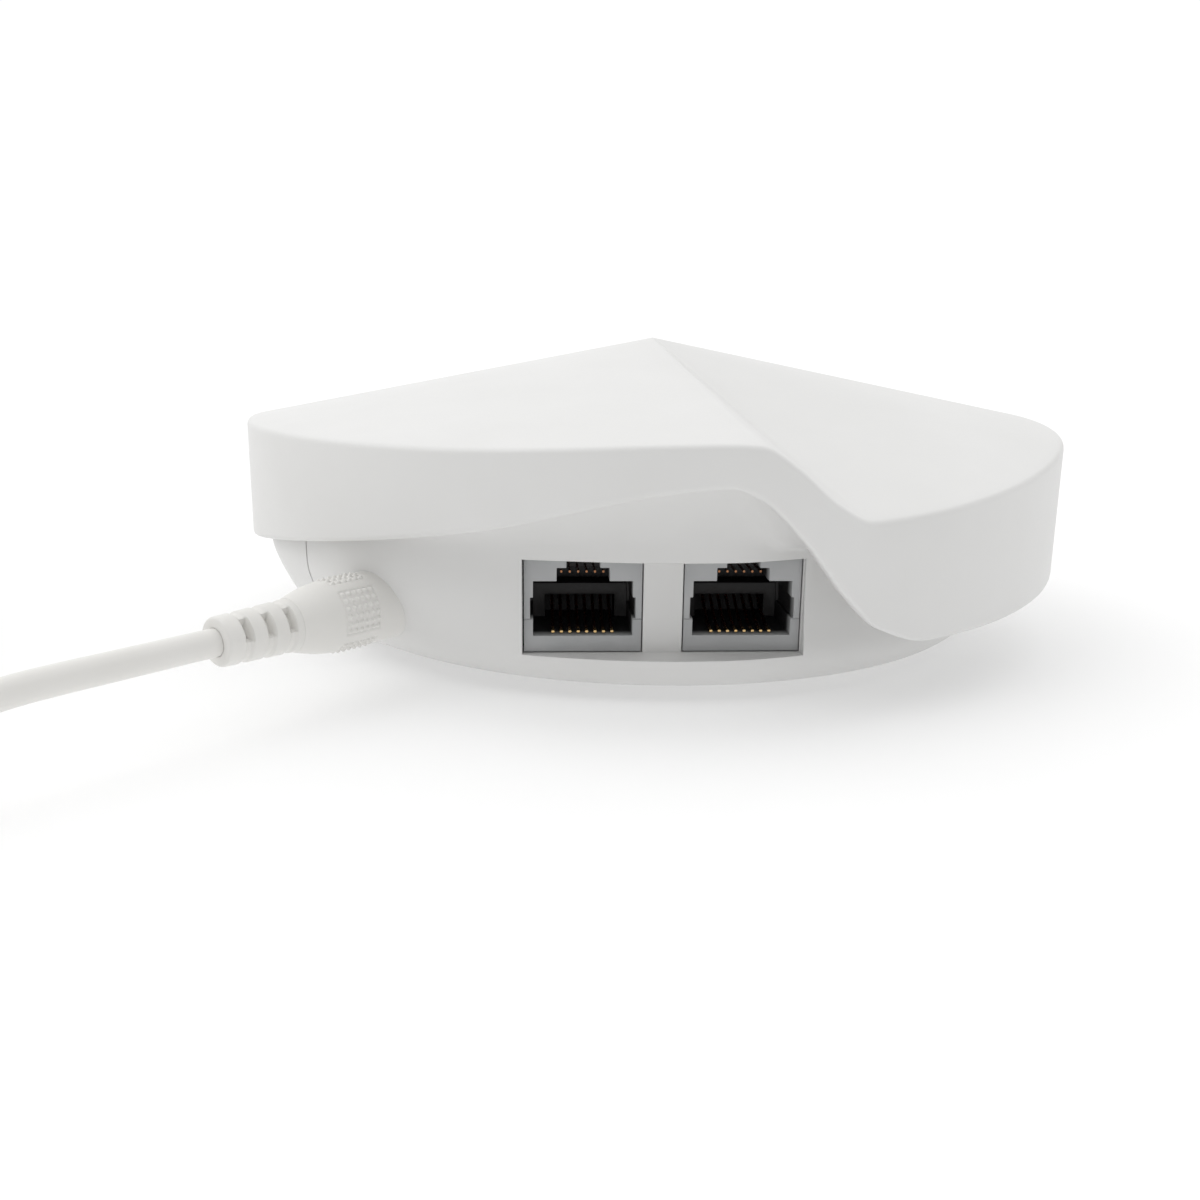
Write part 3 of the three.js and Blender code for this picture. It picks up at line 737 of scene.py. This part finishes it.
# ---- jacks ----
def make_jack(side, x):
    y = (PORT_Y, PORT_Y + JACK_DEPTH)
    z = (PORT_Z[0] + 0.15, JACK_TOP)
    jack = joined(f"jack_{side}", [box((x - JACK_W / 2, x + JACK_W / 2), y, z)])
    half = CAVITY_W / 2
    front = PORT_Y - 1
    outer = -1 if side == "left" else 1
    cuts = [
        box((x - half, x + half), (front, PORT_Y + 9.2), (8.3, 15)),
        box((x - half, x + half), (PORT_Y + 8, PORT_Y + 12.6), (12.7, 15)),
        box((x - 4.4, x + 4.4), (PORT_Y + 8, PORT_Y + 12.6), (8.3, 11.2)),
        box((x - half - 0.35, x + half + 0.35), (front, PORT_Y + 9), (10.4, 13)),
        box((x - 3.15, x + 3.15), (front, PORT_Y + 8), (14.9, 16.6)),
        box((x - 2, x + 2), (front, PORT_Y + 8), (16.5, 17.8)),
        box_at(x + outer * 5.75, PORT_Y, 1.1, 3, (17.75, 18.25)),
    ]
    for s in (-1, 1):
        cuts.append(box_at(x + s * 6.6, PORT_Y, 1.4, 0.24, (10.28, 10.4)))
    combine(jack, joined("cuts", cuts), "DIFFERENCE")
    round_edges(jack, 0.08, 2)
    shade(jack)
    finish_piece(jack, [f"rj45_jack_{side}"], "router", LOOKS["jack_grey"])


def bar(path, width, thick):
    """A strip of constant width along a path of (y, z) points, centred on x = 0."""
    points, faces = [], []
    for i, (y, z) in enumerate(path):
        before, after = Vector(path[max(i - 1, 0)]), Vector(path[min(i + 1, len(path) - 1)])
        along = (after - before).normalized()
        ny, nz = -along.y * thick / 2, along.x * thick / 2
        w, v = width / 2, width / 2 - 0.07
        points += [
            (-w, y, z), (-v, y + ny, z + nz), (v, y + ny, z + nz),
            (w, y, z), (v, y - ny, z - nz), (-v, y - ny, z - nz),
        ]
    n = 6
    for a in range(0, (len(path) - 1) * n, n):
        faces += [(a + k, a + (k + 1) % n, a + n + (k + 1) % n, a + n + k) for k in range(n)]
    faces += [tuple(range(n))[::-1], tuple(range(len(points) - n, len(points)))]
    return points, faces


def make_contacts(side, x):
    y = PORT_Y
    spring = smooth_line([
        (y + 0.75, 8.62), (y + 2.2, 8.7), (y + 4, 8.95), (y + 6.4, 9.9), (y + 8.9, 11.15),
    ])
    parts = []
    for i in range(8):
        at = x + (i - 3.5) * CONTACT_PITCH
        points, faces = bar(spring, 0.4, 0.26)
        parts.append(([(p[0] + at, p[1], p[2]) for p in points], faces))
    for i in range(6):
        at = x + (i - 2.5) * CONTACT_PITCH
        points, faces = bar([(y + 2.4, 15.66), (y + 2.6, 15.67), (y + 7.9, 15.7)], 0.3, 0.28)
        parts.append(([(p[0] + at, p[1], p[2]) for p in points], faces))
    contacts = shade(joined(f"contacts_{side}", parts))
    finish_piece(contacts, [f"rj45_contacts_{side}"], "router", LOOKS["contact_gold"])


# ---- plug, strain reliefs, tie and adapter ----
KNURL = (58.4, 63.9)
KNURL_PANELS = 4
KNURL_FACING = 165  # the middle of one panel, round the inlet's axis
PANEL_HALF = 38.5  # degrees from a panel's middle to its edge
PANEL_DEPTH = 0.14
DOTS = 6  # in a row, and rows in a panel
DOT_ANGLE = 12.4
DOT_R = 0.33
DOT_HEIGHT = 0.32


def round_step(value, start, end):
    t = min(max((value - start) / (end - start), 0), 1)
    return t * t * (3 - 2 * t)


def plug_radius(s):
    """Radius of the plug without its grip, at a distance from the router's middle."""
    if s < PLUG_FACE + 0.5:
        return PLUG_R - 0.5 + math.sqrt(max(0.25 - (PLUG_FACE + 0.5 - s) ** 2, 0))
    if s < 61.6:
        return PLUG_R
    t = (s - 61.6) / (PLUG_END - 61.6)
    return PLUG_R - (PLUG_R - 3.15) * t ** 2.2


def grip(s, angle):
    """Height of the grip: sunken panels with rows of raised dots."""
    pitch = 360 / KNURL_PANELS
    off = (angle - KNURL_FACING + pitch / 2) % pitch - pitch / 2
    sunk = (round_step(s, KNURL[0], KNURL[0] + 0.35) * round_step(-s, -KNURL[1], -KNURL[1] + 0.35)
            * round_step(-abs(off), -PANEL_HALF, -PANEL_HALF + 4))
    row = min(max(round(off / DOT_ANGLE + 2.5), 0), DOTS - 1)
    dot_pitch = (KNURL[1] - KNURL[0] - 0.6) / DOTS
    column = min(max(round((s - KNURL[0] - 0.3) / dot_pitch - 0.5), 0), DOTS - 1)
    ds = s - (KNURL[0] + 0.3 + (column + 0.5) * dot_pitch)
    da = math.radians(off - (row - 2.5) * DOT_ANGLE) * PLUG_R
    dome = max(0, 1 - (ds * ds + da * da) / DOT_R ** 2)
    return -PANEL_DEPTH * sunk + DOT_HEIGHT * dome * (sunk > 0.5)


def radial_grid(stations, sides, radius, bore):
    """A closed sleeve along the inlet's axis: radius(s, angle) outside and a plain bore inside."""
    points, faces = [], []
    for s in stations:
        for i in range(sides):
            angle = 360 * i / sides
            points.append(along_inlet(polar(radius(s, angle), angle, s)))
    for s in (stations[-1], stations[0]):
        points += [along_inlet(polar(bore, 360 * i / sides, s)) for i in range(sides)]
    rows = len(stations) + 2
    for k in range(rows):
        a, b = k * sides, (k + 1) % rows * sides
        faces += [(a + i, b + i, b + (i + 1) % sides, a + (i + 1) % sides) for i in range(sides)]
    return points, [f[::-1] for f in faces]


def stations(start, end, step):
    n = max(1, round((end - start) / step))
    return [start + (end - start) * i / n for i in range(n + 1)]


def make_plug():
    along = (
        [PLUG_FACE, PLUG_FACE + 0.05, PLUG_FACE + 0.15, PLUG_FACE + 0.3]
        + stations(PLUG_FACE + 0.5, KNURL[0] - 0.3, 1)
        + stations(KNURL[0] - 0.2, KNURL[1] + 0.2, 0.07)
        + stations(KNURL[1] + 0.6, PLUG_END - 0.4, 0.5)
        + [PLUG_END - 0.15, PLUG_END - 0.05, PLUG_END]
    )

    def radius(s, angle):
        return plug_radius(s) + grip(s, angle)

    plug = shade(joined("plug", [radial_grid(along, 420, radius, 2.95)]), 60)
    core = shade(joined("plug_core", [
        inlet_rod(2.96, 60, 60.5, 48), inlet_rod(2.96, PLUG_END - 0.9, PLUG_END - 0.05, 48),
    ]))
    finish_piece(core, [], "power_lead", LOOKS["lead_white"])
    finish_piece(plug, ["plug_body"], "power_lead", LOOKS["lead_white"])


GROOVES = ((69.55, 70.75), (72.35, 73.55), (75.15, 76.35))
SLOT_FACING = 149


def relief_radius(s, angle):
    """Rings with grooves between them, which open into deep slots on two sides."""
    outer = 3.13 - 0.33 * (s - RELIEF[0]) / (RELIEF[1] - RELIEF[0])
    depth = 0.0
    facing = abs((angle - SLOT_FACING + 90) % 180 - 90)
    for start, end in GROOVES:
        inside = round_step(s, start, start + 0.35) * round_step(-s, -end, -end + 0.35)
        slot = (round_step(-facing, -31, -27) * round_step(s, start + 0.05, start + 0.2)
                * round_step(-s, -end + 0.05, -end + 0.2))
        depth = max(depth, 0.3 * inside, 1.25 * slot)
    edge = 0.45
    lead_out = min(max(0, s - RELIEF[1] + edge) / edge, 1)
    rounding = edge * (1 - math.sqrt(1 - lead_out ** 2))
    return outer - depth - rounding


def make_relief():
    sleeve = radial_grid(stations(*RELIEF, 0.08), 144, relief_radius, CORD_R + 0.02)
    relief = shade(joined("strain_relief", [sleeve]), 60)
    finish_piece(relief, ["plug_strain_relief"], "power_lead", LOOKS["lead_white"])


def rounded_outline(w, h, r, steps=8):
    dx, dz = w / 2 - r, h / 2 - r
    outline = []
    for x, z, a in ((dx, dz, 0), (-dx, dz, 90), (-dx, -dz, 180), (dx, -dz, 270)):
        turns = [math.radians(a + 90 * i / steps) for i in range(steps + 1)]
        outline += [(x + r * math.cos(t), z + r * math.sin(t)) for t in turns]
    return outline


def adapter_slab(y0, y1, ends):
    """A rounded block along Y with its two ends rounded over by so much."""
    quarter = [math.radians(90 * t / 5) for t in range(6)]
    rows = [(y0 + ends[0] * (1 - math.sin(a)), ends[0] * (1 - math.cos(a))) for a in quarter[::-1]]
    rows += [(y1 - ends[1] * (1 - math.sin(a)), ends[1] * (1 - math.cos(a))) for a in quarter]
    points, faces = [], []
    for y, inset in rows:
        for x, z in rounded_outline(ADAPTER_W - 2 * inset, ADAPTER_H - 2 * inset, 4):
            points.append((ADAPTER_X + x, y, ADAPTER_H / 2 + z))
    n = len(points) // len(rows)
    for a in range(0, (len(rows) - 1) * n, n):
        faces += [(a + i, a + n + i, a + n + (i + 1) % n, a + (i + 1) % n) for i in range(n)]
    faces += [tuple(range(n)), tuple(range(len(points) - n, len(points)))[::-1]]
    return points, faces


def make_adapter():
    case = joined("adapter_body", [adapter_slab(ADAPTER_Y[0], ADAPTER_Y[1] - 3.3, (2.5, 0.4))])
    middle = (ADAPTER_Y[0] + ADAPTER_Y[1]) / 2
    sunk = [box_at(ADAPTER_X, middle, 18, 34, (ADAPTER_H - 0.35, ADAPTER_H + 1))]
    for side in (-1, 1):
        for i in range(6):
            x = ADAPTER_X + side * (ADAPTER_W / 2)
            sunk.append(box_at(x, middle - 15 + i * 3, 0.9, 1.2, (7, ADAPTER_H - 7)))
    combine(case, joined("grooves", sunk), "DIFFERENCE")
    shade(case, 30)
    finish_piece(case, ["adapter_case"], "power_lead", LOOKS["lead_white"])
    cover = joined("adapter_lid", [adapter_slab(ADAPTER_Y[1] - 3, ADAPTER_Y[1], (0.4, 1.2))])
    slots = [
        box_at(ADAPTER_X + s * BLADE_X, ADAPTER_Y[1], 2.1, 20, (ADAPTER_H / 2 - 3.5, ADAPTER_H / 2 + 3.5))
        for s in (-1, 1)
    ]
    combine(cover, joined("slots", slots), "DIFFERENCE")
    shade(cover, 30)
    finish_piece(cover, ["adapter_cover"], "power_lead", LOOKS["lead_white"])


def make_adapter_relief():
    z = COIL_Z[1]
    at = lambda p: Vector((ADAPTER_X + p.x, ADAPTER_Y[0] - 14 + p.z, z + p.y))
    bore = CORD_R + 0.12
    profile = [(bore, 0)] + bend((2.0, 0), (2.5, 0), (2.5, 0.5), 4)
    for i in range(4):
        start = 1.6 + i * 2.6
        r = 2.6 + 0.24 * i
        profile += [(r, start), (r - 0.5, start + 0.3), (r - 0.5, start + 1.0), (r + 0.1, start + 1.3)]
    profile += [(3.55, 12.2), (3.6, 13.7), (bore, 13.7)]
    points, faces = ring_body(profile, 64, at)
    relief = shade(joined("adapter_relief", [(points, [f[::-1] for f in faces])]), 50)
    finish_piece(relief, ["adapter_strain_relief"], "power_lead", LOOKS["lead_white"])


def make_tie():
    """A strap round one side of the coil."""
    coil_low, coil_high = COIL_R[0] - CORD_R - 0.15, COIL_R[1] + CORD_R + 0.15
    z0, z1 = COIL_Z[0] - CORD_R - 0.05, COIL_Z[1] + CORD_R + 0.05
    middle = ((coil_low + coil_high) / 2, (z0 + z1) / 2)
    w, h = coil_high - coil_low + 0.7, z1 - z0 + 0.45
    inner = rounded_outline(w, h, 2.2, 6)
    outer = rounded_outline(w + 0.8, h + 0.6, 2.5, 6)
    points, faces = [], []
    n = len(inner)
    for y in (-2.5, 2.5):
        for ring in (outer, inner):
            points += [(middle[0] + r, y, middle[1] + z) for r, z in ring]
    for i in range(n):
        j = (i + 1) % n
        faces += [
            (i, j, 2 * n + j, 2 * n + i), (n + j, n + i, 3 * n + i, 3 * n + j),
            (j, i, n + i, n + j), (2 * n + i, 2 * n + j, 3 * n + j, 3 * n + i),
        ]
    place = Matrix.Translation(COIL_AT) @ Matrix.Rotation(math.radians(55), 4, "Z")
    tie = joined("tie", [([place @ Vector(p) for p in points], [f[::-1] for f in faces])])
    round_edges(tie, 0.1, 2)
    shade(tie, 50)
    finish_piece(tie, ["cord_tie"], "power_lead", LOOKS["strap"])


CAD_LOOKS = {
    "screw_steel": [f"housing_screw_{i}" for i in (1, 2, 3, 4)],
    "board_green": ["main_board"],
    "part_black": [
        "jack_transformer_left", "jack_transformer_right", "power_socket", "processor", "flash_chip",
        "inductor", "reset_switch", "reset_button",
    ],
    "nickel": [
        "power_socket_pin", "plug_barrel", "shield_can_left", "shield_can_right", "adapter_blade_left",
        "adapter_blade_right", "antenna_1", "antenna_2", "antenna_3", "antenna_4",
    ],
    "spreader_aluminium": ["heat_spreader", "capacitor_1", "capacitor_2"],
    "thermal_pad": ["thermal_pad"],
    "lamp_clear": ["status_led", "light_pipe"],
}


def dress_cad_nodes():
    """Gives the CAD nodes that stay their own finish."""
    for look, names in CAD_LOOKS.items():
        for name in names:
            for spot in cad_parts[name].material_slots:
                spot.material = LOOKS[look]


make_cover()
make_housing()
make_panel()
make_feet()
for side, x in JACK_X.items():
    make_jack(side, x)
    make_contacts(side, x)
make_plug()
make_relief()
make_adapter()
make_adapter_relief()
make_tie()

dress_cad_nodes()


# ---- floor and light ----
def make_floor():
    half = 4000
    corners = [(-half, -half, 0), (half, -half, 0), (half, half, 0), (-half, half, 0)]
    floor = new_piece("floor", corners, [(0, 1, 2, 3)])
    look, shader = new_look("paper", 0.9)
    shader.inputs["Specular IOR Level"].default_value = 0.1
    shader.inputs["Emission Color"].default_value = (1, 1, 1, 1)
    shader.inputs["Emission Strength"].default_value = 0.35
    fibre = pattern(look, "ShaderNodeTexNoise", 25, Detail=3)
    paper = blend_colour(look, fibre.outputs["Fac"], (0.64, 0.64, 0.64), (0.66, 0.66, 0.66))
    colour_in(look, shader, paper)
    floor.data.materials.append(look)


def soft_light(name, energy, toward, spread_angle):
    light = bpy.data.lights.new(name, "SUN")
    light.energy = energy
    light.angle = math.radians(spread_angle)
    lamp = bpy.data.objects.new(name, light)
    scene.collection.objects.link(lamp)
    lamp.rotation_euler = Vector(toward).to_track_quat("-Z", "Y").to_euler()


def make_studio():
    """A white room, dimmer overhead and behind the camera, with large soft lamps above."""
    world = bpy.data.worlds.new("studio")
    scene.world = world
    world.use_nodes = True
    tree = world.node_tree
    place = tree.nodes.new("ShaderNodeTexCoord")
    split = tree.nodes.new("ShaderNodeSeparateXYZ")
    fall = tree.nodes.new("ShaderNodeMapRange")
    lean = tree.nodes.new("ShaderNodeVectorMath")
    lean.operation = "DOT_PRODUCT"
    lean.inputs[1].default_value = (0, 1, 0.6)
    front = tree.nodes.new("ShaderNodeMapRange")
    both = tree.nodes.new("ShaderNodeMath")
    both.operation = "MULTIPLY"
    for node, span in ((fall, (0.28, 0.45, 1.03, 0.7)), (front, (-0.85, 0, 0.25, 1))):
        for socket, value in zip(("From Min", "From Max", "To Min", "To Max"), span):
            node.inputs[socket].default_value = value
    tree.links.new(place.outputs["Generated"], split.inputs["Vector"])
    tree.links.new(split.outputs["Z"], fall.inputs["Value"])
    tree.links.new(place.outputs["Generated"], lean.inputs[0])
    tree.links.new(lean.outputs["Value"], front.inputs["Value"])
    tree.links.new(fall.outputs["Result"], both.inputs[0])
    tree.links.new(front.outputs["Result"], both.inputs[1])
    tree.links.new(both.outputs["Value"], tree.nodes["Background"].inputs["Strength"])
    tree.nodes["Background"].inputs["Color"].default_value = (1, 1, 1, 1)
    soft_light("overhead", 0.78, (0.1, -0.25, -1), 110)
    soft_light("left", 0.65, (1, -0.1, -1.1), 60)
    soft_light("right", 0.08, (-1, -0.1, -1.1), 60)


make_floor()
make_studio()
scene.view_settings.view_transform = "Standard"
